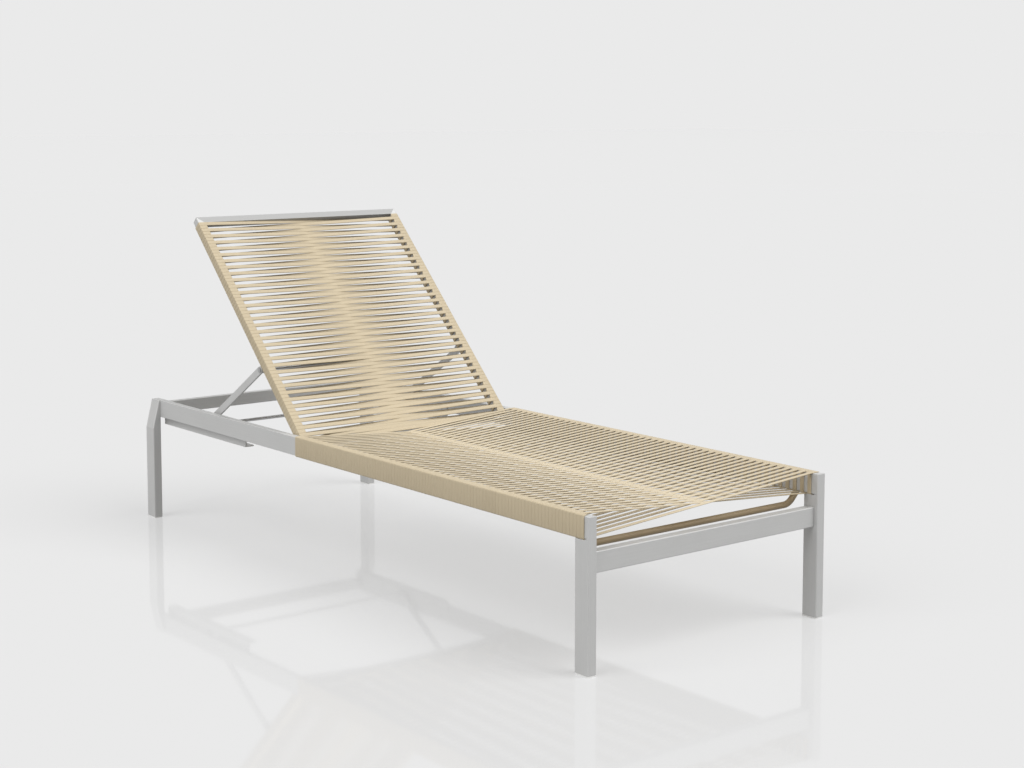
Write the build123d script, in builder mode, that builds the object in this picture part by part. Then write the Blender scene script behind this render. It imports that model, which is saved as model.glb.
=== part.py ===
from build123d import *
from math import asin, cos, degrees, radians, sin, sqrt
import os

# Pool chaise longue: a low metal frame strung with flat rope, and a backrest that folds on
# a hinge axle and is propped by two struts whose cross rod rides on toothed racks.
# X runs across, Y from the foot end to the head end, Z up. The origin is on the ground, in the
# middle of the length and width. Lengths are millimetres, angles are degrees.

# Seat frame
overall_length = 2000.0
seat_height = 353.5
rail_width = 20.0
rail_height = 50.0
rail_wall = 2.0
rail_corner = 1.5
rails_apart = 702.0
rail_cap_thickness = 2.0
rail_plug_length = 14.0

# Legs and their glides
leg_width = 25.0
leg_depth = 46.0
leg_wall = 2.5
leg_corner = 3.5
leg_lip = 1.0
upstand_thickness = 6.3
upstand_step = 7.0
taper_height = 82.5
taper_top_width = 5.0
glide_height = 3.2
glide_plug_length = 15.0

# Crossbars
foot_bar_thickness = 25.6
foot_bar_height = 48.0
foot_bar_setback = 11.4
foot_bar_drop = 81.0
head_bar_thickness = 20.0
head_bar_height = 36.0
head_bar_setback = 15.0
head_bar_drop = 8.0
bar_wall = 2.0
bar_corner = 2.0

# Spreader bow, a bent tube that holds the side rails apart under the foot of the seat
bow_radius = 8.0
bow_wall = 1.5
bow_from_foot = 68.5
bow_drop = 29.3
bow_straight_half = 322.0
bow_rise_half = 349.0
bow_bend_radius = 40.0

# Rope, wound in a figure of eight round each pair of rails
rope_thickness = 2.0
rope_width = 11.6
seat_pitch = 23.7
seat_wrap_from_foot = 14.4
seat_first_strand = 9.3
seat_wrap_to_hinge = 14.6
back_pitch = 23.64
back_wrap_from_hinge = 16.3
back_first_strand = 5.96
back_wrap_to_bar = 0.7

# Backrest
hinge_from_head = 797.0
back_angle = 45.24
back_length = 805.7
back_tube_width = 20.0
back_tube_depth = 22.6
back_tube_wall = 2.0
back_side_gap = 6.2
back_solid_foot = 30.0
back_solid_corner = 36.0
lower_tube_radius = 9.0
lower_tube_wall = 2.5

# Hinge
axle_radius = 5.0
axle_reach = 3.0
bush_flange_radius = 9.0
bush_stem_radius = 7.0
bush_stem_length = 3.5

# Prop
pivot_from_hinge = 277.7
pivot_behind = 29.7
pivot_rod_radius = 4.75
pivot_cap_radius = 7.0
pivot_cap_thickness = 2.6
lug_thickness = 5.0
lug_base = 26.0
lug_end_radius = 10.0
strut_width = 20.0
strut_thickness = 6.0
strut_side_gap = 8.0
strut_length = 368.0
prop_rod_radius = 4.75
prop_rod_below_seat = 46.5
prop_rod_side_gap = 1.0
highest_turn = 8.0
lowest_turn = -42.8

# Racks under the side rails, which the prop's rod rides on
rack_thickness = 4.5
rack_from_hinge = 287.0
rack_drop = 74.0
rack_flange_width = 22.5
rack_flange_thickness = 3.5
rack_tab_drop = 29.5
rack_rear_step = 10.0
rack_tab_slope = 8.0
rack_tab_room = 12.0
rack_notch_radius = 6.0
rack_notch_depth = 3.0
rack_notch_turns = (7.0, 0.0, -8.0, -17.0, -27.0)
rack_path_steps = 24
rivet_radius = 2.5
rivet_head_radius = 4.0
rivet_head_height = 2.0
rivet_tail_radius = 3.5
rivet_tail_length = 2.0
rivet_inset = 24.0
rivet_below_tab = 11.0

# Clearances
rope_clearance = 0.3
fit_clearance = 0.02
running_clearance = 0.05
plug_clearance = 0.2
side_clearance = 0.5
rack_clearance = 0.6
overrun = 5.0

# Places worked out from the sizes above
foot_end = -overall_length / 2
head_end = overall_length / 2
rail_inner = rails_apart / 2
rail_outer = rail_inner + rail_width
rail_middle = (rail_inner + rail_outer) / 2
rail_bottom = seat_height - rail_height
rail_level = seat_height - rail_height / 2
rope_bottom = rail_bottom - rope_thickness
foot_leg_inner = rail_inner - leg_lip
foot_leg_middle = foot_leg_inner + leg_width / 2
head_leg_middle = rail_outer + leg_width / 2
seat_wrap_start = foot_end + seat_wrap_from_foot
hinge_y = head_end - hinge_from_head
seat_wrap_length = hinge_y - seat_wrap_to_hinge - seat_wrap_start
back_wrap_length = back_length - back_tube_width - back_wrap_to_bar - back_wrap_from_hinge
back_outer = rail_inner - back_side_gap
back_inner = back_outer - back_tube_width
back_middle = (back_inner + back_outer) / 2
back_half_depth = back_tube_depth / 2
strut_outer = rail_inner - strut_side_gap
strut_inner = strut_outer - strut_thickness
prop_rod_z = seat_height - prop_rod_below_seat
rack_front = hinge_y + rack_from_hinge
rack_rear = head_end - head_bar_setback - head_bar_thickness
rack_bottom = seat_height - rack_drop
rack_inner = rail_inner - rack_thickness
rack_tab_top = seat_height - rack_tab_drop
rivet_z = rack_tab_top - rivet_below_tab

# The backrest's own directions: along it from the hinge, and square to it on the rope's side
hinge_point = Vector(0, hinge_y, rail_level)
back_along = Vector(0, cos(radians(back_angle)), sin(radians(back_angle)))
back_front = Vector(0, -sin(radians(back_angle)), cos(radians(back_angle)))
back_face = Plane(origin=hinge_point, x_dir=(1, 0, 0), z_dir=back_front)
back_section = Plane(origin=hinge_point, x_dir=(1, 0, 0), z_dir=back_along)
back_side = Plane(origin=hinge_point, x_dir=back_along, z_dir=(1, 0, 0))

# The prop's pivot at rest, and the strut's slope that puts its rod at the height of the racks
pivot_point = hinge_point + back_along * pivot_from_hinge - back_front * pivot_behind
strut_fall = pivot_point.Z - prop_rod_z
strut_run = sqrt(strut_length**2 - strut_fall**2)
strut_along = Vector(0, strut_run / strut_length, -strut_fall / strut_length)
strut_plane = Plane(origin=pivot_point, x_dir=strut_along, z_dir=(1, 0, 0))

# The strut's turn for each degree of the backrest's, so that the rod is at the same height again
# when the backrest lies flat
flat_pivot = hinge_point + (pivot_point - hinge_point).rotate(Axis.X, lowest_turn)
rest_slope = degrees(asin(strut_fall / strut_length))
flat_slope = degrees(asin((flat_pivot.Z - prop_rod_z) / strut_length))
prop_turn_share = (rest_slope - flat_slope) / -lowest_turn


def rod_place(back_turn):
    """Middle of the prop's rod when the backrest has turned by back_turn from rest."""
    pivot = hinge_point + (pivot_point - hinge_point).rotate(Axis.X, back_turn)
    return pivot + (strut_along * strut_length).rotate(Axis.X, -prop_turn_share * back_turn)


def strand_centres(first, pitch, length):
    """Middles of the strands that leave one rail, as many as the wrap's length has room for with
    the other rail's strands half a pitch behind them."""
    pairs = int((length - first - rope_width / 2 - pitch / 2) / pitch) + 1
    return [first + pitch * turn for turn in range(pairs)]


def write_piece(name, piece):
    """Label a finished piece and write its file."""
    piece.part.label = name
    export_step(piece.part, f"parts/{name}.step")


def write_pair(name, left):
    """Write a left piece and its mirror image on the right."""
    write_piece(f"{name}_left", left)
    with BuildPart() as right:
        mirror(left.part, about=Plane.YZ)
    write_piece(f"{name}_right", right)


def cross_tube(y, z, thickness, height, half_length):
    """A rectangular tube that runs across between the two sides."""
    with BuildPart() as tube:
        with BuildSketch(Plane.YZ.offset(-half_length)):
            with Locations((y, z)):
                RectangleRounded(thickness, height, bar_corner)
                Rectangle(thickness - 2 * bar_wall, height - 2 * bar_wall, mode=Mode.SUBTRACT)
        extrude(amount=2 * half_length)
    return tube


def glide(x, y):
    """A glide that plugs the foot of a leg and carries it on the ground."""
    with BuildPart() as foot:
        with BuildSketch():
            with Locations((x, y)):
                RectangleRounded(leg_width, leg_depth, leg_corner)
        extrude(amount=glide_height)
        with BuildSketch(Plane.XY.offset(glide_height)):
            with Locations((x, y)):
                Rectangle(leg_width - 2 * leg_wall - 2 * plug_clearance,
                          leg_depth - 2 * leg_wall - 2 * plug_clearance)
        extrude(amount=glide_plug_length)
    return foot


def bow_tube(radius, bore):
    """The spreader bow's bent tube, cut off level under the side rails."""
    rise = (bow_rise_half - bow_straight_half) / bow_drop
    reach = bow_rise_half + rise * overrun
    level = rail_bottom - bow_drop
    with BuildPart() as tube:
        with BuildLine(Plane.XZ.offset(-(foot_end + bow_from_foot))) as route:
            FilletPolyline((-reach, rail_bottom + overrun), (-bow_straight_half, level),
                           (bow_straight_half, level), (reach, rail_bottom + overrun),
                           radius=bow_bend_radius)
        with BuildSketch(Plane(origin=route.line @ 0, z_dir=route.line % 0)):
            Circle(radius)
            if bore > 0:
                Circle(bore, mode=Mode.SUBTRACT)
        sweep()
        split(bisect_by=Plane.XY.offset(rail_bottom), keep=Keep.BOTTOM)
    return tube


def strand_profile(inner, half_depth, side):
    """One strand: a band up the inner face of the rail on one side, then straight across from
    that rail's front face to the back face of the other rail. side is -1 for left, 1 for right."""
    with BuildSketch() as profile:
        with BuildLine():
            Polyline((side * inner, -half_depth - rope_thickness), (side * inner, -half_depth),
                     (-side * inner, half_depth + rope_thickness), (-side * inner, half_depth),
                     close=True)
        make_face()
        with Locations((side * (inner - rope_thickness / 2), 0)):
            Rectangle(rope_thickness, 2 * (half_depth + rope_thickness))
    return profile.sketch


def rope_net(section, inner, width, half_depth, length, left_strands, right_strands, room):
    """Rope wound round two rails: a sleeve on the front, outer and back face of each rail, and
    strands that leave the left and the right rail in turn. The wrap starts at section, and room
    is cut out where another piece passes through the sleeves."""
    outer = inner + width
    profiles = ((left_strands, strand_profile(inner, half_depth, -1)),
                (right_strands, strand_profile(inner, half_depth, 1)))
    with BuildPart() as net:
        with BuildSketch(section):
            for side in (-1, 1):
                with Locations((side * (inner + outer + rope_thickness) / 2, 0)):
                    Rectangle(width + rope_thickness, 2 * (half_depth + rope_thickness))
                with Locations((side * (inner + outer) / 2, 0)):
                    Rectangle(width, 2 * half_depth, mode=Mode.SUBTRACT)
        extrude(amount=length)
        for centres, profile in profiles:
            for centre in centres:
                with BuildSketch(section.offset(centre - rope_width / 2)):
                    add(profile)
        extrude(amount=rope_width)
        add(room.part, mode=Mode.SUBTRACT)
    return net


os.makedirs("parts", exist_ok=True)

# Tips of the racks' teeth, which follow the path of the rod a little below it. The rod turns
# back at the far end of its path, where the tips are level.
rod_path = []
for step in range(rack_path_steps + 1):
    turn = highest_turn + (lowest_turn - highest_turn) * step / rack_path_steps
    place = rod_place(turn)
    rod_path.append((place.Y, place.Z - prop_rod_radius - rack_clearance))
furthest = max(place[0] for place in rod_path)
turning_start = furthest - 2 * prop_rod_radius
turning_level = min(place[1] for place in rod_path if place[0] > turning_start)
rack_tips = [place for place in rod_path if place[0] < turning_start - prop_rod_radius]
rack_tips += [(turning_start, turning_level), (furthest + rack_notch_radius, turning_level)]

# Riveted tabs of the racks, ahead of the rod's path and behind it
front_tab_end = rack_tips[0][0] - rack_tab_room - rack_tab_slope
rear_tab_start = rack_tips[-1][0] + rack_tab_room
rear_tab_end = rack_rear - rack_rear_step
rivet_places = [(rack_front + rivet_inset, rivet_z), (front_tab_end - rivet_inset, rivet_z),
                (rear_tab_start + rivet_inset, rivet_z), (rear_tab_end - rivet_inset, rivet_z)]

# Side rails: plain tubes, with a hole for the hinge bush and rivet holes for the rack
with BuildPart() as side_rail:
    rail_start = foot_end + upstand_thickness
    rail_stop = head_end - rail_cap_thickness
    with BuildSketch(Plane.XZ.offset(-rail_stop)):
        with Locations((-rail_middle, rail_level)):
            RectangleRounded(rail_width, rail_height, rail_corner)
            Rectangle(rail_width - 2 * rail_wall, rail_height - 2 * rail_wall, mode=Mode.SUBTRACT)
    extrude(amount=rail_stop - rail_start)
    with BuildSketch(Plane.YZ.offset(-rail_middle)):
        with Locations((hinge_y, rail_level)):
            Circle(bush_stem_radius + fit_clearance)
        with Locations(*rivet_places):
            Circle(rivet_radius + fit_clearance)
    extrude(amount=rail_width, mode=Mode.SUBTRACT)
write_pair("side_rail", side_rail)

with BuildPart() as rail_cap:
    with BuildSketch(Plane.XZ.offset(-head_end)):
        with Locations((-rail_middle, rail_level)):
            RectangleRounded(rail_width, rail_height, rail_corner)
    extrude(amount=rail_cap_thickness)
    with BuildSketch(Plane.XZ.offset(-rail_stop)):
        with Locations((-rail_middle, rail_level)):
            Rectangle(rail_width - 2 * rail_wall - 2 * plug_clearance,
                      rail_height - 2 * rail_wall - 2 * plug_clearance)
    extrude(amount=rail_plug_length)
write_pair("rail_cap", rail_cap)

# Foot legs: notched at the top, so that the side rail lies on a shoulder behind an upstand
with BuildPart() as foot_leg:
    shoulder = rope_bottom - rope_clearance
    with BuildSketch(Plane.XY.offset(glide_height)):
        with Locations((-foot_leg_middle, foot_end + leg_depth / 2)):
            RectangleRounded(leg_width, leg_depth, leg_corner)
    extrude(amount=seat_height - glide_height)
    with BuildSketch(Plane.YZ.offset(-foot_leg_middle)):
        with BuildLine():
            Polyline((rail_start, seat_height + overrun), (rail_start, rail_bottom),
                     (rail_start + upstand_step, rail_bottom), (rail_start + upstand_step, shoulder),
                     (foot_end + leg_depth + overrun, shoulder),
                     (foot_end + leg_depth + overrun, seat_height + overrun), close=True)
        make_face()
    extrude(amount=leg_width, both=True, mode=Mode.SUBTRACT)
    with BuildSketch(Plane.XY.offset(glide_height)):
        with Locations((-foot_leg_middle, foot_end + leg_depth / 2)):
            Rectangle(leg_width - 2 * leg_wall, leg_depth - 2 * leg_wall)
    extrude(amount=shoulder - leg_wall - glide_height, mode=Mode.SUBTRACT)
write_pair("foot_leg", foot_leg)

# Head legs: outboard of the rails, tapered on the outside towards the top
with BuildPart() as head_leg:
    with BuildSketch(Plane.XZ.offset(-head_end)):
        with BuildLine():
            Polyline((-rail_outer, glide_height), (-rail_outer - leg_width, glide_height),
                     (-rail_outer - leg_width, seat_height - taper_height),
                     (-rail_outer - taper_top_width, seat_height), (-rail_outer, seat_height),
                     close=True)
        make_face()
    extrude(amount=leg_depth)
    outer_faces = head_leg.faces().filter_by(lambda face: face.normal_at().X < -leg_corner / leg_width)
    fillet(outer_faces.edges().filter_by(lambda edge: abs(edge.tangent_at(0).Z) > leg_corner / leg_width),
           radius=leg_corner)
    with BuildSketch(Plane.XY.offset(glide_height)):
        with Locations((-head_leg_middle, head_end - leg_depth / 2)):
            Rectangle(leg_width - 2 * leg_wall, leg_depth - 2 * leg_wall)
    extrude(amount=seat_height - taper_height - leg_wall - glide_height, mode=Mode.SUBTRACT)
write_pair("head_leg", head_leg)

glide_foot = glide(-foot_leg_middle, foot_end + leg_depth / 2)
write_pair("glide_foot", glide_foot)
glide_head = glide(-head_leg_middle, head_end - leg_depth / 2)
write_pair("glide_head", glide_head)

# Crossbars between the foot legs and between the side rails at the head
foot_crossbar = cross_tube(foot_end + foot_bar_setback + foot_bar_thickness / 2,
                           seat_height - foot_bar_drop - foot_bar_height / 2,
                           foot_bar_thickness, foot_bar_height, foot_leg_inner)
write_piece("foot_crossbar", foot_crossbar)
head_crossbar = cross_tube(head_end - head_bar_setback - head_bar_thickness / 2,
                           seat_height - head_bar_drop - head_bar_height / 2,
                           head_bar_thickness, head_bar_height, rail_inner)
write_piece("head_crossbar", head_crossbar)

spreader_bow = bow_tube(bow_radius, bow_radius - bow_wall)
write_piece("spreader_bow", spreader_bow)

# Seat rope, with room cut for the ends of the bow
seat_section = Plane(origin=(0, seat_wrap_start, rail_level), x_dir=(1, 0, 0), z_dir=(0, 1, 0))
right_centres = strand_centres(seat_first_strand, seat_pitch, seat_wrap_length)
left_centres = [centre + seat_pitch / 2 for centre in right_centres]
bow_room = bow_tube(bow_radius + rope_clearance, 0)
seat_rope = rope_net(seat_section, rail_inner, rail_width, rail_height / 2,
                     seat_wrap_length, left_centres, right_centres, bow_room)
write_piece("seat_rope", seat_rope)

# Hinge: an axle across the frame, in flanged bushes that sit in the inner walls of the rails
with BuildPart() as hinge_axle:
    with BuildSketch(Plane.YZ.offset(-rail_inner - axle_reach)):
        with Locations((hinge_y, rail_level)):
            Circle(axle_radius)
    extrude(amount=2 * (rail_inner + axle_reach))
write_piece("hinge_axle", hinge_axle)

with BuildPart() as hinge_bush:
    with BuildSketch(Plane.YZ.offset(-rail_inner)):
        with Locations((hinge_y, rail_level)):
            Circle(bush_flange_radius)
    extrude(amount=back_side_gap - rope_clearance)
    with BuildSketch(Plane.YZ.offset(-rail_inner - bush_stem_length)):
        with Locations((hinge_y, rail_level)):
            Circle(bush_stem_radius)
    extrude(amount=bush_stem_length)
    with BuildSketch(Plane.YZ.offset(-rail_inner)):
        with Locations((hinge_y, rail_level)):
            Circle(axle_radius + fit_clearance)
    extrude(amount=rail_width, both=True, mode=Mode.SUBTRACT)
write_pair("hinge_bush", hinge_bush)

# Backrest rails: mitred at the top, rounded about the hinge axis at the foot
with BuildPart() as backrest_rail:
    with BuildSketch(back_face.offset(back_half_depth)):
        with BuildLine():
            Polyline((-back_outer, 0), (-back_outer, back_length),
                     (-back_inner, back_length - back_tube_width), (-back_inner, 0), close=True)
        make_face()
    extrude(amount=-back_tube_depth)
    with BuildSketch(back_side.offset(-back_outer)):
        Circle(back_half_depth)
    extrude(amount=back_tube_width)
    with BuildSketch(back_section.offset(back_solid_foot)):
        with Locations((-back_middle, 0)):
            Rectangle(back_tube_width - 2 * back_tube_wall, back_tube_depth - 2 * back_tube_wall)
    extrude(amount=back_length - back_solid_foot - back_solid_corner, mode=Mode.SUBTRACT)
    with BuildSketch(back_side.offset(-back_middle)):
        Circle(axle_radius + running_clearance)
    extrude(amount=back_tube_width, both=True, mode=Mode.SUBTRACT)
write_pair("backrest_rail", backrest_rail)

with BuildPart() as backrest_top_bar:
    with BuildSketch(back_face.offset(back_half_depth)):
        with BuildLine():
            Polyline((-back_outer, back_length), (back_outer, back_length),
                     (back_inner, back_length - back_tube_width),
                     (-back_inner, back_length - back_tube_width), close=True)
        make_face()
    extrude(amount=-back_tube_depth)
    with BuildSketch(back_side.offset(-back_inner)):
        with Locations((back_length - back_tube_width / 2, 0)):
            Rectangle(back_tube_width - 2 * back_tube_wall, back_tube_depth - 2 * back_tube_wall)
    extrude(amount=2 * back_inner, mode=Mode.SUBTRACT)
write_piece("backrest_top_bar", backrest_top_bar)

with BuildPart() as backrest_lower_tube:
    with BuildSketch(back_side.offset(-back_inner)):
        Circle(lower_tube_radius)
        Circle(lower_tube_radius - lower_tube_wall, mode=Mode.SUBTRACT)
    extrude(amount=2 * back_inner)
write_piece("backrest_lower_tube", backrest_lower_tube)

# Prop lugs, on the back faces of the backrest's rails beside the struts
lug_outer = strut_inner - side_clearance
with BuildPart() as prop_lug:
    with BuildSketch(back_side.offset(-lug_outer)):
        with BuildLine():
            Polyline((pivot_from_hinge - lug_base / 2, -back_half_depth),
                     (pivot_from_hinge + lug_base / 2, -back_half_depth),
                     (pivot_from_hinge + lug_end_radius, -pivot_behind),
                     (pivot_from_hinge - lug_end_radius, -pivot_behind), close=True)
        make_face()
        with Locations((pivot_from_hinge, -pivot_behind)):
            Circle(lug_end_radius)
            Circle(pivot_rod_radius + fit_clearance, mode=Mode.SUBTRACT)
    extrude(amount=lug_thickness)
write_pair("prop_lug", prop_lug)

# Backrest rope, with slots in the back of its sleeves for the lugs
with BuildPart() as lug_room:
    with BuildSketch(back_face.offset(-back_half_depth)):
        for side in (-1, 1):
            with Locations((side * (lug_outer - lug_thickness / 2), pivot_from_hinge)):
                Rectangle(lug_thickness + 2 * rope_clearance, lug_base + 2 * rope_clearance)
    extrude(amount=-rope_thickness - overrun)
back_wrap_section = back_section.offset(back_wrap_from_hinge)
left_centres = strand_centres(back_first_strand, back_pitch, back_wrap_length)
right_centres = [centre + back_pitch / 2 for centre in left_centres]
backrest_rope = rope_net(back_wrap_section, back_inner, back_tube_width, back_half_depth,
                         back_wrap_length, left_centres, right_centres, lug_room)
write_piece("backrest_rope", backrest_rope)

# Pivot rod across both lugs and struts, with a button cap on each end
pivot_rod_end = strut_outer + side_clearance
with BuildPart() as prop_pivot_rod:
    with BuildSketch(back_side.offset(-pivot_rod_end)):
        with Locations((pivot_from_hinge, -pivot_behind)):
            Circle(pivot_rod_radius)
    extrude(amount=2 * pivot_rod_end)
write_piece("prop_pivot_rod", prop_pivot_rod)

with BuildPart() as pivot_cap:
    with BuildSketch(back_side.offset(-pivot_rod_end)):
        with Locations((pivot_from_hinge, -pivot_behind)):
            Circle(pivot_cap_radius)
    extrude(amount=-pivot_cap_thickness + side_clearance)
write_pair("pivot_cap", pivot_cap)

# Struts and the rod that joins their lower ends
with BuildPart() as prop_strut:
    with BuildSketch(strut_plane.offset(-strut_outer)):
        with Locations((strut_length / 2, 0)):
            SlotCenterToCenter(strut_length, strut_width)
        Circle(pivot_rod_radius + running_clearance, mode=Mode.SUBTRACT)
        with Locations((strut_length, 0)):
            Circle(prop_rod_radius + fit_clearance, mode=Mode.SUBTRACT)
    extrude(amount=strut_thickness)
write_pair("prop_strut", prop_strut)

with BuildPart() as prop_rod:
    with BuildSketch(strut_plane.offset(-rail_inner + prop_rod_side_gap)):
        with Locations((strut_length, 0)):
            Circle(prop_rod_radius)
    extrude(amount=2 * (rail_inner - prop_rod_side_gap))
write_piece("prop_rod", prop_rod)

# Racks: teeth just below the rod's path, between two riveted tabs, and a flange along the foot
with BuildPart() as rack:
    with BuildSketch(Plane.YZ.offset(-rail_inner)):
        with BuildLine():
            Polyline((rack_front, rack_bottom), (rack_front, rack_tab_top - rack_tab_slope),
                     (rack_front + rack_tab_slope, rack_tab_top), (front_tab_end, rack_tab_top),
                     (front_tab_end + rack_tab_slope, rack_tips[0][1]), *rack_tips,
                     (rear_tab_start, rack_tab_top), (rear_tab_end, rack_tab_top),
                     (rear_tab_end, rope_bottom), (rack_rear, rope_bottom),
                     (rack_rear, rack_bottom), close=True)
        make_face()
        for turn in rack_notch_turns:
            place = rod_place(turn)
            tip = place.Z - prop_rod_radius - rack_clearance
            with Locations((place.Y, tip - rack_notch_depth + rack_notch_radius)):
                Circle(rack_notch_radius, mode=Mode.SUBTRACT)
        with Locations(*rivet_places):
            Circle(rivet_radius + fit_clearance, mode=Mode.SUBTRACT)
    extrude(amount=rack_thickness)
    with BuildSketch(Plane.XY.offset(rack_bottom)):
        with Locations((-rack_inner + rack_flange_width / 2, (rack_front + rack_rear) / 2)):
            Rectangle(rack_flange_width, rack_rear - rack_front)
    extrude(amount=rack_flange_thickness)
write_pair("rack", rack)

with BuildPart() as rack_rivets:
    with BuildSketch(Plane.YZ.offset(-rack_inner)):
        with Locations(*rivet_places):
            Circle(rivet_head_radius)
    extrude(amount=rivet_head_height)
    with BuildSketch(Plane.YZ.offset(-rack_inner)):
        with Locations(*rivet_places):
            Circle(rivet_radius)
    extrude(amount=-rack_thickness - rail_wall)
    with BuildSketch(Plane.YZ.offset(-rail_inner - rail_wall)):
        with Locations(*rivet_places):
            Circle(rivet_tail_radius)
    extrude(amount=-rivet_tail_length)
    mirror(about=Plane.YZ)
write_piece("rack_rivets", rack_rivets)
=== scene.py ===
import bpy
from math import cos, pi, radians, sin
from mathutils import Euler, Matrix, Vector


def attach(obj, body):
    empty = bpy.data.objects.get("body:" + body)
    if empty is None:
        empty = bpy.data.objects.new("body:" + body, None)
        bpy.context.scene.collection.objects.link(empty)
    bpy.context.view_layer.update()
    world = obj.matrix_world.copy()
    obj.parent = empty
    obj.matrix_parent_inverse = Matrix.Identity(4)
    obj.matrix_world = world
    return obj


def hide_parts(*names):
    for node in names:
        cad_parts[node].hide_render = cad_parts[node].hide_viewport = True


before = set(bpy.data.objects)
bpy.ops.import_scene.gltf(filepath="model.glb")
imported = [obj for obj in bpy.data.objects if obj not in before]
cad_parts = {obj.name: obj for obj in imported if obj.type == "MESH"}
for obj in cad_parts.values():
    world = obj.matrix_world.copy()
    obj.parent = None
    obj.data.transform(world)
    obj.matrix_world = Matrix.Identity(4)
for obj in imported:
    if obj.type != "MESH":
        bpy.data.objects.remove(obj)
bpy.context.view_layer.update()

# Camera
# A long lens at standing height, off the left corner of the foot end. The photograph's camera is
# level with a large shift. This one looks down a little, which keeps the shift of every view small.
eye = (-2.8639, -3.8683, 1.2358)
looking_down, heading = 5.7171, -38.4776
picture_width, picture_drop = 1024, 100


def set_out(name, data):
    """A new object in the scene."""
    piece = bpy.data.objects.new(name, data)
    bpy.context.collection.objects.link(piece)
    return piece


camera = set_out("camera", bpy.data.cameras.new("camera"))
camera.location = eye
camera.rotation_euler = Euler((radians(90 - looking_down), 0, radians(heading)))
camera.data.sensor_width = 36
camera.data.lens = 63.511
camera.data.shift_y = -picture_drop / picture_width
camera.data.clip_end = 200
bpy.context.scene.camera = camera

# Metal frame
# Square-cornered stainless steel tubes, cut, mitred and welded, with flat struts and racks. They
# are brushed along their length to a satin grey, so each direction has a finish of its own.


class Reading:
    """A socket of a finish or of a making tree. Sums on it add Math nodes."""

    def __init__(self, recipe, socket):
        self.recipe, self.socket = recipe, socket

    def at(self, name):
        """Another output of the same node."""
        outputs = self.socket.node.outputs
        return Reading(self.recipe, next(s for s in outputs if name in (s.identifier, s.name)))

    def maths(self, operation, *values):
        """One Math node on these values, or on this one alone."""
        return self.recipe.node("ShaderNodeMath", {"operation": operation},
                                dict(enumerate(values or (self,))))

    def __add__(self, other): return self.maths("ADD", self, other)
    def __radd__(self, other): return self.maths("ADD", other, self)
    def __sub__(self, other): return self.maths("SUBTRACT", self, other)
    def __rsub__(self, other): return self.maths("SUBTRACT", other, self)
    def __mul__(self, other): return self.maths("MULTIPLY", self, other)
    def __rmul__(self, other): return self.maths("MULTIPLY", other, self)
    def __truediv__(self, other): return self.maths("DIVIDE", self, other)
    def __pow__(self, other): return self.maths("POWER", self, other)
    def __mod__(self, other): return self.maths("FLOORED_MODULO", self, other)
    def __gt__(self, other): return self.maths("GREATER_THAN", self, other)
    def __lt__(self, other): return self.maths("LESS_THAN", self, other)


class Recipe:
    """The nodes of one finish or of one making tree."""

    def __init__(self, tree):
        self.tree = tree

    def node(self, kind, settings=None, values=None):
        """A node, its settings, and the values or links of its sockets."""
        step = self.tree.nodes.new(kind)
        for name, setting in (settings or {}).items():
            setattr(step, name, setting)
        for name, value in (values or {}).items():
            socket = (step.inputs[name] if isinstance(name, int) else
                      next(s for s in step.inputs if name in (s.identifier, s.name)))
            self.fill(socket, value)
        return Reading(self, step.outputs[0]) if step.outputs else step

    def fill(self, socket, value):
        """Link a reading to a socket, or set a value on it."""
        if isinstance(value, Reading):
            self.tree.links.new(value.socket, socket)
        else:
            socket.default_value = value

    def tint(self, share, low, high):
        """A colour between two colours."""
        return self.node("ShaderNodeMix", {"data_type": "RGBA"}, {
            "Factor_Float": share, "A_Color": low if isinstance(low, Reading) else (*low, 1),
            "B_Color": high if isinstance(high, Reading) else (*high, 1)}).at("Result_Color")

    def noise(self, place, scale, detail, roughness=0.5):
        return self.node("ShaderNodeTexNoise", {}, {
            "Vector": place, "Scale": scale, "Detail": detail, "Roughness": roughness})

    def streaks(self, place, turn, counts, detail, roughness=0.5):
        """Noise with so many marks in a metre along each axis, once the place is turned."""
        turned = self.node("ShaderNodeMapping", {}, {"Vector": place, "Rotation": turn})
        stretched = self.node("ShaderNodeVectorMath", {"operation": "MULTIPLY"},
                              {0: turned, 1: counts})
        return self.noise(stretched, 1.0, detail, roughness)


class Finish(Recipe):
    """A material with one main shader."""

    def __init__(self, name, **constants):
        self.material = bpy.data.materials.new(name)
        self.material.use_nodes = True
        super().__init__(self.material.node_tree)
        self.tree.nodes.clear()
        self.shader = self.tree.nodes.new("ShaderNodeBsdfPrincipled")
        output = self.tree.nodes.new("ShaderNodeOutputMaterial")
        self.tree.links.new(self.shader.outputs[0], output.inputs["Surface"])
        self.give(constants)
        self.place = self.node("ShaderNodeTexCoord").at("Object")

    def give(self, values):
        """Set or link the main shader's sockets."""
        for name, value in values.items():
            self.fill(self.shader.inputs[name], value)

    def bump(self, height, distance, strength, normal=None):
        values = {"Height": height, "Distance": distance, "Strength": strength}
        if normal:
            values["Normal"] = normal
        self.give({"Normal": self.node("ShaderNodeBump", {}, values)})


def coat(part, finish):
    """Put a finish on every face of a CAD part."""
    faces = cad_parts[part].data
    faces.materials.clear()
    faces.materials.append(finish.material)


def shades(tone, spread):
    """A darker and a brighter shade of a tone."""
    return [tuple(share * value for value in tone) for share in (1 - spread, 1 + spread)]


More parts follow.
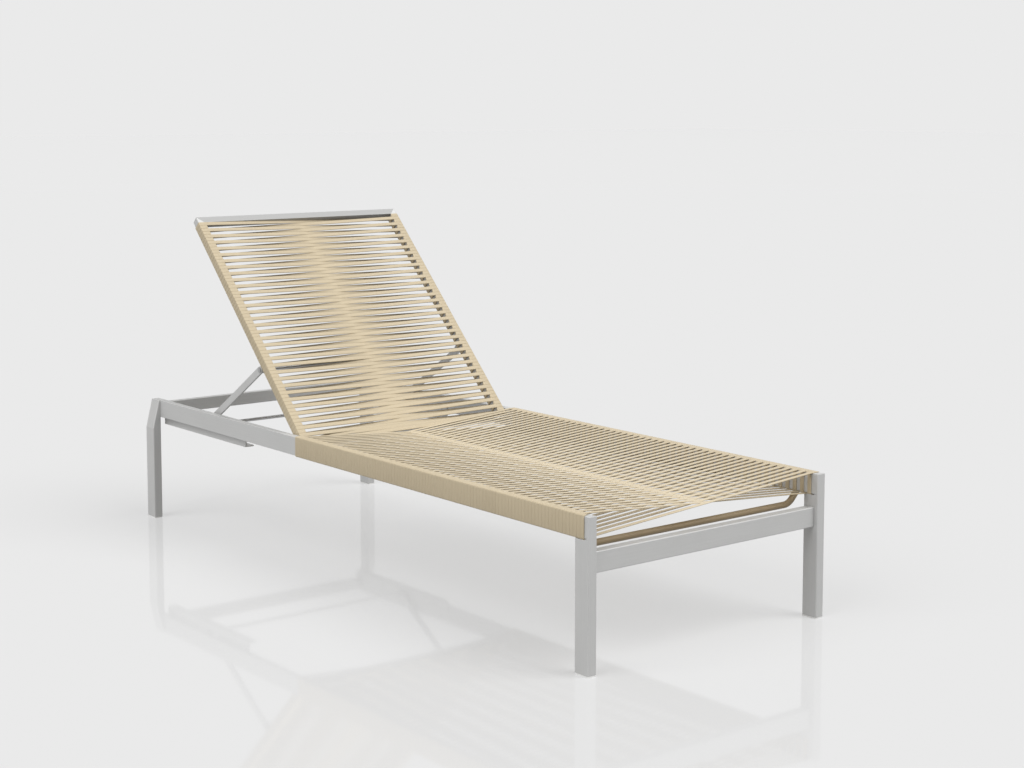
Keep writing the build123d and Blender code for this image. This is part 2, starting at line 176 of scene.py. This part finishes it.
def brushed(name, turn, tone, sheen):
    """Satin metal, brushed along the direction that turn brings onto Y."""
    edge_radius, bare_edge, hair_depth = 0.0012, (0.78, 0.78, 0.77), 0.00004
    finish = Finish(name, Metallic=0.3)
    hairs = finish.streaks(finish.place, turn, (1900, 22, 1900), 3, 0.6)
    strokes = finish.streaks(finish.place, turn, (240, 5, 240), 3, 0.55)
    clouds = finish.noise(finish.place, 9.0, 4, 0.6)
    scuffs = finish.noise(finish.place, 60.0, 4, 0.65)
    eased = finish.node("ShaderNodeBevel", {"samples": 4}, {"Radius": edge_radius})
    flat = finish.node("ShaderNodeNewGeometry").at("Normal")
    aligned = finish.node("ShaderNodeVectorMath", {"operation": "DOT_PRODUCT"},
                          {0: eased, 1: flat}).at("Value")
    rubbed = finish.node("ShaderNodeMapRange", {}, {
        "Value": (1 - aligned) * (0.6 + scuffs), "From Min": 0.02, "From Max": 0.16,
        "To Min": 0.0, "To Max": 1.0})
    body = finish.tint(hairs * 0.4 + strokes * 0.3 + clouds * 0.3, *shades(tone, 0.14))
    finish.give({"Base Color": finish.tint(rubbed * 0.5, body, bare_edge),
                 "Roughness": sheen + (hairs + clouds - 1) * 0.1 - rubbed * 0.08})
    finish.bump(hairs, hair_depth, 0.35, eased)
    return finish


steel_grey, satin = (0.56, 0.56, 0.553), 0.52
back_tilt, strut_tilt = 45.24, 32.51
along_y, along_x, along_z = (0, 0, 0), (0, 0, pi / 2), (pi / 2, 0, 0)
rail_finish = brushed("brushed_along_rails", along_y, steel_grey, satin)
bar_finish = brushed("brushed_across", along_x, steel_grey, satin)
leg_finish = brushed("brushed_up_legs", along_z, steel_grey, satin)
back_finish = brushed("brushed_along_backrest", (radians(-back_tilt), 0, 0), steel_grey, satin)
strut_finish = brushed("brushed_along_struts", (radians(strut_tilt), 0, 0), steel_grey, satin)
for side in ("left", "right"):
    for part, finish in (("side_rail", rail_finish), ("rail_cap", leg_finish),
                         ("foot_leg", leg_finish), ("head_leg", leg_finish),
                         ("backrest_rail", back_finish), ("prop_strut", strut_finish),
                         ("prop_lug", back_finish), ("rack", rail_finish)):
        coat(f"{part}_{side}", finish)
for end in ("foot", "head"):
    coat(f"{end}_crossbar", bar_finish)

# Backrest top bar
# The tube across the top of the backrest, mitred and welded to its rails. It is brushed like the
# others, with a duller satin, and its grey is darkened as a painted shade.
top_bar_shaded_grey, top_bar_satin = tuple(0.66 * value for value in steel_grey), 0.56
coat("backrest_top_bar", brushed("brushed_top_bar", along_x, top_bar_shaded_grey, top_bar_satin))

# Rods, axle, lower cross tube and pivot caps
# Turned steel bars and tube, a little darker and shinier than the frame, with fine rings from the
# lathe. The axle runs in the side rails, and the rods carry the prop's struts.
rod_grey, rod_sheen, ring_depth = (0.40, 0.40, 0.40), 0.32, 0.00003
rod_steel = Finish("turned_rod_steel", Metallic=1.0)
rings = rod_steel.streaks(rod_steel.place, along_y, (900, 30, 30), 2)
clouds = rod_steel.noise(rod_steel.place, 25.0, 3, 0.6)
rod_steel.give({
    "Base Color": rod_steel.tint(rings * 0.5 + clouds * 0.5, *shades(rod_grey, 0.2)),
    "Roughness": rod_sheen + (clouds - 0.5) * 0.15})
rod_steel.bump(rings, ring_depth, 0.4)
for part in ("hinge_axle", "backrest_lower_tube", "prop_pivot_rod", "prop_rod",
             "pivot_cap_left", "pivot_cap_right"):
    coat(part, rod_steel)

# Spreader bow
# A round steel tube under the foot of the seat, its ends bent up and welded to the side rails. It
# has a baked paint in the colour of the rope.
bow_shade, bow_light, paint_sheen = (0.34, 0.255, 0.15), (0.46, 0.355, 0.215), 0.42
bow_paint = Finish("bow_paint")
grain = bow_paint.noise(bow_paint.place, 1400.0, 2)
patches = bow_paint.noise(bow_paint.place, 14.0, 4, 0.6)
bow_paint.give({
    "Base Color": bow_paint.tint(patches * 0.7 + grain * 0.3, bow_shade, bow_light),
    "Roughness": paint_sheen + (grain - 0.5) * 0.2})
bow_paint.bump(grain, 0.0001, 0.5)
coat("spreader_bow", bow_paint)

# Glides and bushes
# Moulded white plastic: feet that plug the open ends of the legs, and flanged bearings that are
# pressed into the side rails for the hinge axle.
plastic_shade, plastic_light, plastic_sheen = (0.86, 0.86, 0.84), (0.95, 0.95, 0.94), 0.45
white_plastic = Finish("glide_plastic")
speckle = white_plastic.noise(white_plastic.place, 900.0, 2)
scuffs = white_plastic.noise(white_plastic.place, 70.0, 4, 0.7)
white_plastic.give({
    "Base Color": white_plastic.tint(scuffs, plastic_shade, plastic_light),
    "Roughness": plastic_sheen + (scuffs - 0.5) * 0.3})
white_plastic.bump(speckle, 0.00006, 0.5)
for part in ("glide_foot", "glide_head", "hinge_bush"):
    for side in ("left", "right"):
        coat(f"{part}_{side}", white_plastic)

# Seat rope
# One long flat braided rope, wound in a figure of eight round the two side rails. From the back
# of one rail it crosses to the front of the other, goes once round that rail, steps half a pitch
# along it and goes round its outside to the back again.
rope_width, rope_thickness = 0.0118, 0.0024
rail_width = 0.020
back_clearance = 0.0004


def half_turn(inner, half_depth, corner, step):
    """Middle line of half a turn of rope: round the outside of the rail at -X to its back, across
    to the front of the rail at +X, and once round that. X runs across, Y along the rails and Z out
    of the front. Each point has its place, the direction that its face looks in, how free it is to
    move and how far it lies under the strands that cross it."""
    skin = rope_thickness / 2
    outer, reach = inner + rail_width, corner + skin
    near, far = inner + corner, outer - corner
    level, top, bottom = half_depth + skin, half_depth - corner, corner - half_depth
    slant, drift, last_rise = 0.5 * step, 0.35 * step, min(0.006, top)
    line = []

    def put(place, facing, free=0.0, under=0.0):
        line.append((place, facing, free, under))

    def bend(side, across, up, start, stop, along=(0, 0), faces=1):
        """Round one corner of a rail, from one angle to another."""
        bends = 3
        for part in range(bends + 1):
            share = part / bends
            angle = radians(start + (stop - start) * share)
            facing = (side * cos(angle), 0, sin(angle))
            y = along[0] + (along[1] - along[0]) * share
            put((side * across + facing[0] * reach, y, up + facing[2] * reach),
                tuple(faces * value for value in facing))

    put((-near, 0, level), (0, 0, -1))
    bend(-1, far, top, 90, 0, faces=-1)
    bend(-1, far, bottom, 0, -90, faces=-1)
    put((-inner - skin, slant, -level - back_clearance), (0, 0, 1), under=1.0)
    for share in (0.12, 0.3, 0.5, 0.7, 0.88):
        rise = 2 * share - 1
        put((rise * (inner + skin), slant * (1 - share), rise * level), (0, 0, 1),
            free=1 - rise ** 2, under=max(0.0, -rise))
    put((inner + skin, 0, level), (0, 0, 1))
    bend(1, far, top, 90, 0)
    bend(1, far, bottom, 0, -90)
    bend(1, near, bottom, -90, -180, along=(drift, drift))
    put((inner - skin, drift, top - last_rise), (-1, 0, 0))
    put((inner - skin, 0.5 * step, top - 0.5 * last_rise), (-1, 0, 0))
    bend(1, near, top, 180, 100, along=(step - drift, step))
    return line


def making_tree(name, inputs, output):
    """A Geometry Nodes tree with its inputs and its output, ready to be filled."""
    tree = bpy.data.node_groups.new(name, "GeometryNodeTree")
    for label, kind in inputs.items():
        tree.interface.new_socket(label, in_out="INPUT", socket_type=f"NodeSocket{kind}")
    tree.interface.new_socket(output, in_out="OUTPUT", socket_type="NodeSocketGeometry")
    make = Recipe(tree)
    return make, make.node("NodeGroupInput")


def end_tree(make, mesh, finish, output):
    """Smooth shading, real instances and the finish, and then the tree's output."""
    smooth = make.node("GeometryNodeSetShadeSmooth", {}, {"Geometry": mesh})
    real = make.node("GeometryNodeRealizeInstances", {}, {"Geometry": smooth})
    coated = make.node("GeometryNodeSetMaterial", {}, {"Geometry": real, "Material": finish})
    make.node("NodeGroupOutput", {}, {output: coated})
    return make.tree


def winding_tree():
    """Repeats half a turn along the rails, on each side in turn, as a closed flat rope."""
    make, given = making_tree("wind_rope", {
        "Half turn": "Geometry", "Half turns": "Int", "Step": "Float", "Run": "Float",
        "Points": "Int", "First side": "Int", "Skipped": "Int", "Left off": "Int",
        "Laid over": "Float", "Painted light": "Float", "Rope width": "Float",
        "Rope thickness": "Float", "Slack": "Float", "Seed": "Int", "Finish": "Material"}, "Rope")
    around = 12
    last_of_crossing = 15
    shadow_from, shadow_over = 8, 16
    edge_squareness, wrapped_crown, free_crown = 0.35, 0.3, 0.6

    # Each row of the grid is one point of the rope's line, and its columns go round the rope.
    rows = given.at("Half turns") * given.at("Points") - given.at("Skipped") - given.at("Left off")
    grid = make.node("GeometryNodeMeshGrid", {}, {"Vertices X": rows, "Vertices Y": around + 1})
    index = make.node("GeometryNodeInputIndex")
    row = (index / (around + 1)).maths("FLOOR")
    angle = (index % (around + 1)) % around * (2 * pi / around)
    stage = row + given.at("Skipped")
    turn = (stage / given.at("Points")).maths("FLOOR")
    point = stage % given.at("Points")
    side = (1 - (turn % 2) * 2) * given.at("First side")

    def read(name, kind):
        """The half turn's own value at this point."""
        value = (make.node("GeometryNodeInputPosition") if name == "position" else
                 make.node("GeometryNodeInputNamedAttribute", {"data_type": kind}, {"Name": name}))
        return make.node("GeometryNodeSampleIndex", {"data_type": kind, "domain": "POINT"},
                         {"Geometry": given.at("Half turn"), "Value": value, "Index": point})

    def parts(vector):
        split = make.node("ShaderNodeSeparateXYZ", {}, {"Vector": vector})
        return split, split.at("Y"), split.at("Z")

    def rounded(value, power):
        return value.maths("SIGN") * value.maths("ABSOLUTE") ** power

    def marked(mesh, name, value):
        return make.node("GeometryNodeStoreNamedAttribute",
                         {"data_type": "FLOAT_VECTOR", "domain": "POINT"},
                         {"Geometry": mesh, "Name": name, "Value": value})

    x, y, z = parts(read("position", "FLOAT_VECTOR"))
    facing_x, _, facing_z = parts(read("facing", "FLOAT_VECTOR"))
    free, run = read("free", "FLOAT"), read("run", "FLOAT")
    # How far a point lies under crossing strands sets a painted shadow there, which grows in over
    # the turns after the first few.
    deep = (turn - shadow_from) / shadow_over
    under = read("under", "FLOAT") * deep.maths("MINIMUM", deep, 1.0)

    # The first two strands are lifted over what lies behind them at the rope's start.
    first = (turn < 0.5) * (point < last_of_crossing + 0.5)
    second = (turn > 0.5) * (turn < 1.5) * (free > 0.0)
    lifted = z.maths("MAXIMUM", z, given.at("Laid over") * (1 - second * 0.4))
    z = z + (lifted - z) * (first + second)

    # The end rows shrink to a point, which closes the rope.
    whole = (row > 0.5) * (row < rows - 1.5)
    crown = wrapped_crown + free.maths("MINIMUM", free * 3, 1.0) * (free_crown - wrapped_crown)
    width = (rounded(angle.maths("COSINE"), edge_squareness)
             * given.at("Rope width") * whole / 2)
    depth = rounded(angle.maths("SINE"), crown) * given.at("Rope thickness") * whole / 2
    nudge = [make.node("FunctionNodeRandomValue", {"data_type": "FLOAT"}, {
        "Min_001": -1.0, "Max_001": 1.0, "ID": turn,
        "Seed": given.at("Seed") + order}).at("Value_001") * given.at("Slack") * free
        for order in range(2)]
    place = make.node("ShaderNodeCombineXYZ", {}, {
        "X": x * side + facing_x * depth,
        "Y": y + turn * given.at("Step") + width + nudge[0],
        "Z": z + facing_z * side * depth + nudge[1]})
    weave = make.node("ShaderNodeCombineXYZ", {}, {
        "X": run + turn * given.at("Run"), "Y": width, "Z": depth})
    lie = make.node("ShaderNodeCombineXYZ", {}, {
        "X": free, "Y": under.maths("MAXIMUM", under, 0.0), "Z": given.at("Painted light")})
    moved = make.node("GeometryNodeSetPosition", {}, {"Geometry": grid, "Position": place})
    closed = make.node("GeometryNodeMergeByDistance", {}, {
        "Geometry": marked(marked(moved, "weave", weave), "lie", lie), "Distance": 1e-6})
    outward = make.node("GeometryNodeFlipFaces", {}, {"Mesh": closed})
    return end_tree(make, outward, given.at("Finish"), "Rope")


def made_by(tree, piece, values):
    """Make a piece with a tree, its inputs set by their identifiers, and keep the plain mesh."""
    modifier = piece.modifiers.new(tree.name, "NODES")
    modifier.node_group = tree
    for item in tree.interface.items_tree:
        if item.name in values:
            modifier[item.identifier] = values[item.name]
    shape = bpy.data.meshes.new_from_object(
        piece.evaluated_get(bpy.context.evaluated_depsgraph_get()))
    piece.modifiers.clear()
    piece.data = shape


# The braid: yarns cross at a slant over the face of the rope, two over and two under. The attribute
# weave is a place on the rope: along it, across it and deep in it. The attribute lie says how free
# the rope is there, how far it lies under other strands and how much painted light its open top
# gets.
yarn_shade, yarn_light = (0.385, 0.312, 0.204), (0.69, 0.585, 0.404)
lit_yarn, shadowed_yarn, edge_shadow = (0.8, 0.7, 0.52), (0.11, 0.08, 0.045), (0.16, 0.115, 0.055)
plait, slope, yarn_sheen, yarn_depth = 0.0024, 1.3, 0.62, 0.0003
rope_yarn = Finish("rope_yarn", **{"Sheen Weight": 0.15, "Sheen Roughness": 0.4})
weave = rope_yarn.node("ShaderNodeAttribute", {"attribute_name": "weave"}).at("Vector")
along = rope_yarn.node("ShaderNodeSeparateXYZ", {}, {"Vector": weave})
across = along.at("Y")
one_way, other_way = (along + across * slope) / plait, (along - across * slope) / plait


def hump(value):
    """A rounded ridge, 0 at its edges and 1 on its crest."""
    share = value.maths("FRACT")
    return share * (1 - share) * 4


over = (one_way.maths("FLOOR") + other_way.maths("FLOOR")) % 2
first_yarn = hump(one_way) * (0.6 + hump(other_way * 0.5) * 0.4)
second_yarn = hump(other_way) * (0.6 + hump(one_way * 0.5) * 0.4)
relief = first_yarn * over + second_yarn * (1 - over)
fibres = rope_yarn.streaks(weave, (0, 0, radians(40)), (400, 6000, 400), 2)
soil = rope_yarn.noise(rope_yarn.place, 7.0, 5, 0.65)
strand_tone = rope_yarn.streaks(weave, along_y, (2.2, 0, 0), 1)
# Painted shade: the grooves between the yarns are darker, mixed with random tone, fibres and soil.
shade = relief * 0.45 + fibres * 0.2 + soil * 0.2 + strand_tone * 0.15
edge = rope_yarn.node("ShaderNodeMapRange", {"interpolation_type": "SMOOTHSTEP"}, {
    "Value": across.maths("ABSOLUTE"), "From Min": 0.0042, "From Max": 0.0058})
lie = rope_yarn.node("ShaderNodeAttribute", {"attribute_name": "lie"}).at("Vector")
loose = rope_yarn.node("ShaderNodeSeparateXYZ", {}, {"Vector": lie})
beneath, light_share = loose.at("Y"), loose.at("Z")
yarn = rope_yarn.tint(shade, yarn_shade, yarn_light)
# Painted light: where a strand is free and on top, it is lifted towards a lighter tone, more on the
# seat than on the backrest.
yarn = rope_yarn.tint(loose * (1 - beneath) * light_share, yarn, lit_yarn)
# Painted shadow: where a strand lies under crossing strands, it is darkened.
yarn = rope_yarn.tint(beneath ** 0.7 * 0.9, yarn, shadowed_yarn)
rope_yarn.give({"Base Color": rope_yarn.tint(edge * loose * (1 - loose) * 1.2, yarn, edge_shadow),
                "Roughness": yarn_sheen + (fibres - 0.5) * 0.2 - relief * 0.08})
rope_yarn.bump(relief + fibres * 0.15, yarn_depth, 0.55)

winding = winding_tree()
rope_slack = 0.00025
step_run = 0.004
points_left_off = 6


def wound_rope(name, inner, half_depth, corner, pitch, half_turns, place, seed,
               painted_light, first_side=1, skipped=0, laid_over=-1.0):
    """A finished rope net. Place is a matrix that brings its first strand where it belongs."""
    line = half_turn(inner, half_depth, corner, pitch / 2)
    shape = bpy.data.meshes.new(name)
    shape.from_pydata([spot[0] for spot in line],
                      [(start, start + 1) for start in range(len(line) - 1)], [])
    runs = [0.0]
    for (last, *_), (spot, *_) in zip(line, line[1:]):
        runs.append(runs[-1] + (Vector(spot) - Vector(last)).length)
    for label, kind, values, key in (
            ("facing", "FLOAT_VECTOR", [value for spot in line for value in spot[1]], "vector"),
            ("free", "FLOAT", [spot[2] for spot in line], "value"),
            ("under", "FLOAT", [spot[3] for spot in line], "value"),
            ("run", "FLOAT", runs, "value")):
        shape.attributes.new(label, kind, "POINT").data.foreach_set(key, values)
    rope = set_out(name, shape)
    made_by(winding, rope, {
        "Half turns": half_turns, "Step": pitch / 2, "Run": runs[-1] + step_run,
        "Points": len(line), "First side": first_side, "Skipped": skipped,
        "Left off": points_left_off, "Laid over": laid_over, "Painted light": painted_light,
        "Rope width": rope_width, "Rope thickness": rope_thickness, "Slack": rope_slack,
        "Seed": seed, "Finish": rope_yarn.material})
    rope.data.transform(place)
    return rope


# It starts behind the uprights of the foot legs and ends short of the hinge.
rail_middle = 0.3285
seat_rope = wound_rope(
    "seat_rope_wound", inner=0.351, half_depth=0.025, corner=0.0015, pitch=0.0237, half_turns=99,
    place=Matrix.Translation((0, -0.9763, rail_middle)), seed=11, painted_light=0.36)
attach(seat_rope, "frame")
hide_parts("seat_rope")

# Backrest rope
# The same rope, wound the same way round the rails of the backrest. It starts in front of the
# lower cross tube, where its first strand lies over that tube, and ends close under the top bar.
hinge_y = 0.203
back_place = (Matrix.Translation((0, hinge_y, rail_middle))
              @ Matrix.Rotation(radians(back_tilt), 4, "X")
              @ Matrix.Translation((0, -0.00138, 0)))
back_rope = wound_rope(
    "backrest_rope_wound", inner=0.3248, half_depth=0.0113, corner=0.0002, pitch=0.02364,
    half_turns=67, place=back_place, seed=23, painted_light=0.04,
    first_side=-1, skipped=9, laid_over=0.0106)
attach(back_rope, "backrest")
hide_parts("backrest_rope")

# Rack rivets
# Steel rivets with a low domed head, set through each rack into the inner wall of its side rail
# and upset inside the tube.
rivet_sizes = {"Head radius": 0.004, "Head height": 0.002, "Shank radius": 0.0025, "Grip": 0.0065}
head_x, rivet_z, rivet_ys = 0.3465, 0.313, (0.514, 0.637, 0.892, 0.931)


def rivet_tree():
    """A rivet at each spot: its head, its shank and its upset end, all on the axis across."""
    make, given = making_tree("set_rivets", {
        "Spots": "Geometry", "Head radius": "Float", "Head height": "Float",
        "Shank radius": "Float", "Grip": "Float", "Finish": "Material"}, "Rivets")
    head_radius, grip = given.at("Head radius"), given.at("Grip")
    tail_share = 0.85
    spot = make.node("GeometryNodeInputPosition")
    outward = make.node("ShaderNodeSeparateXYZ", {}, {"Vector": spot}).maths("SIGN")

    def set_at(part, distance, turn, size):
        """A part on every spot, moved out along the rivet's axis."""
        shift = make.node("ShaderNodeCombineXYZ", {}, {"X": outward * distance})
        spots = make.node("GeometryNodeSetPosition", {}, {
            "Geometry": given.at("Spots"), "Offset": shift})
        return make.node("GeometryNodeInstanceOnPoints", {}, {
            "Points": spots, "Instance": part, "Rotation": turn, "Scale": size})

    def flattened(share):
        """The size of a dome that is as high as the head and this share of its width."""
        return make.node("ShaderNodeCombineXYZ", {}, {
            "X": given.at("Head height") / head_radius, "Y": share, "Z": share})

    dome = make.node("GeometryNodeMeshUVSphere", {}, {
        "Segments": 20, "Rings": 12, "Radius": head_radius})
    shank = make.node("GeometryNodeMeshCylinder", {}, {
        "Vertices": 16, "Radius": given.at("Shank radius"), "Depth": grip})
    joined = make.node("GeometryNodeJoinGeometry")
    for part in (set_at(dome, 0.0, (0, 0, 0), flattened(1.0)),
                 set_at(dome, grip, (0, 0, 0), flattened(tail_share)),
                 set_at(shank, grip / 2, (0, pi / 2, 0), (1, 1, 1))):
        make.tree.links.new(part.socket, joined.socket.node.inputs["Geometry"])
    return end_tree(make, joined, given.at("Finish"), "Rivets")


rivet_spots = bpy.data.meshes.new("rack_rivets_domed")
rivet_spots.from_pydata([(side * head_x, y, rivet_z) for side in (-1, 1) for y in rivet_ys], [], [])
rivets = set_out("rack_rivets_domed", rivet_spots)
made_by(rivet_tree(), rivets, {**rivet_sizes, "Finish": rod_steel.material})
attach(rivets, "frame")
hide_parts("rack_rivets")

# Floor and air
# A wide pale floor under a thin lacquer, and pale air all round. What the camera, a gloss or a
# glass sees of them is brighter than the light that they throw on the object.
white = (1, 1, 1, 1)
floor_edge, floor_matt, floor_pale, floor_glow = 60, 0.30, 0.28, 0.472
air_light, air_shown = 0.36, 0.823


def grey(level):
    return (level, level, level, 1)


def seen_rays(recipe):
    """1 for the rays that show a surface, and 0 for those that carry its light."""
    rays = recipe.node("ShaderNodeLightPath")
    return (rays.at("Is Camera Ray") + rays.at("Is Glossy Ray")
            + rays.at("Is Transmission Ray")) > 0.5


floor_mesh = bpy.data.meshes.new("floor")
floor_mesh.from_pydata([(-floor_edge, -floor_edge, 0), (floor_edge, -floor_edge, 0),
                        (floor_edge, floor_edge, 0), (-floor_edge, floor_edge, 0)],
                       [], [(0, 1, 2, 3)])
floor = set_out("floor", floor_mesh)
floor_material = bpy.data.materials.new("floor_paint")
floor_material.use_nodes = True
paint = Recipe(floor_material.node_tree)
paint.tree.nodes.clear()
matt = paint.node("ShaderNodeBsdfDiffuse", {}, {"Color": grey(floor_matt)})
pale = paint.node("ShaderNodeBsdfDiffuse", {}, {"Color": grey(floor_pale)})
glow = paint.node("ShaderNodeEmission", {}, {"Color": white, "Strength": floor_glow})
bright = paint.node("ShaderNodeAddShader", {}, {0: pale, 1: glow})
gloss = paint.node("ShaderNodeBsdfGlossy", {}, {"Color": white, "Roughness": 0.05})
glancing = paint.node("ShaderNodeFresnel", {}, {"IOR": 1.45}) * 0.6
lacquer = paint.node("ShaderNodeMixShader", {}, {0: glancing, 1: bright, 2: gloss})
paint.node("ShaderNodeOutputMaterial", {}, {
    "Surface": paint.node("ShaderNodeMixShader", {}, {0: seen_rays(paint), 1: matt, 2: lacquer})})
floor.data.materials.append(floor_material)

world = bpy.data.worlds.new("studio")
bpy.context.scene.world = world
world.use_nodes = True
air = Recipe(world.node_tree)
air.tree.nodes.clear()
lit = air.node("ShaderNodeBackground", {}, {"Color": white, "Strength": air_light})
shown = air.node("ShaderNodeBackground", {}, {"Color": grey(air_shown), "Strength": 1.0})
air.node("ShaderNodeOutputWorld", {}, {
    "Surface": air.node("ShaderNodeMixShader", {}, {0: seen_rays(air), 1: lit, 2: shown})})

# Lamps
# Two broad soft lamps from above, one each side. Each has a twin that lights the floor alone and
# leaves no glare in its gloss. The fields are the direction, the strength and the spread.
lamps = {"key_lamp": ((-0.12, 0.20, -0.31), 2.21, 40), "fill_lamp": ((0.15, 0.0, -0.12), 1.65, 50)}
on_floor, off_floor = (bpy.data.collections.new(name) for name in ("on_floor", "off_floor"))
for group, state in ((on_floor, "INCLUDE"), (off_floor, "EXCLUDE")):
    group.objects.link(floor)
    group.collection_objects[0].light_linking.link_state = state
for name, (direction, strength, spread) in lamps.items():
    for group, glare in ((on_floor, False), (off_floor, True)):
        lamp = set_out(name, bpy.data.lights.new(name, "SUN"))
        lamp.rotation_euler = Vector(direction).to_track_quat("-Z", "Y").to_euler()
        lamp.data.energy = strength
        lamp.data.angle = radians(spread)
        lamp.visible_glossy = glare
        lamp.light_linking.receiver_collection = group

bpy.context.scene.view_settings.view_transform = "Standard"
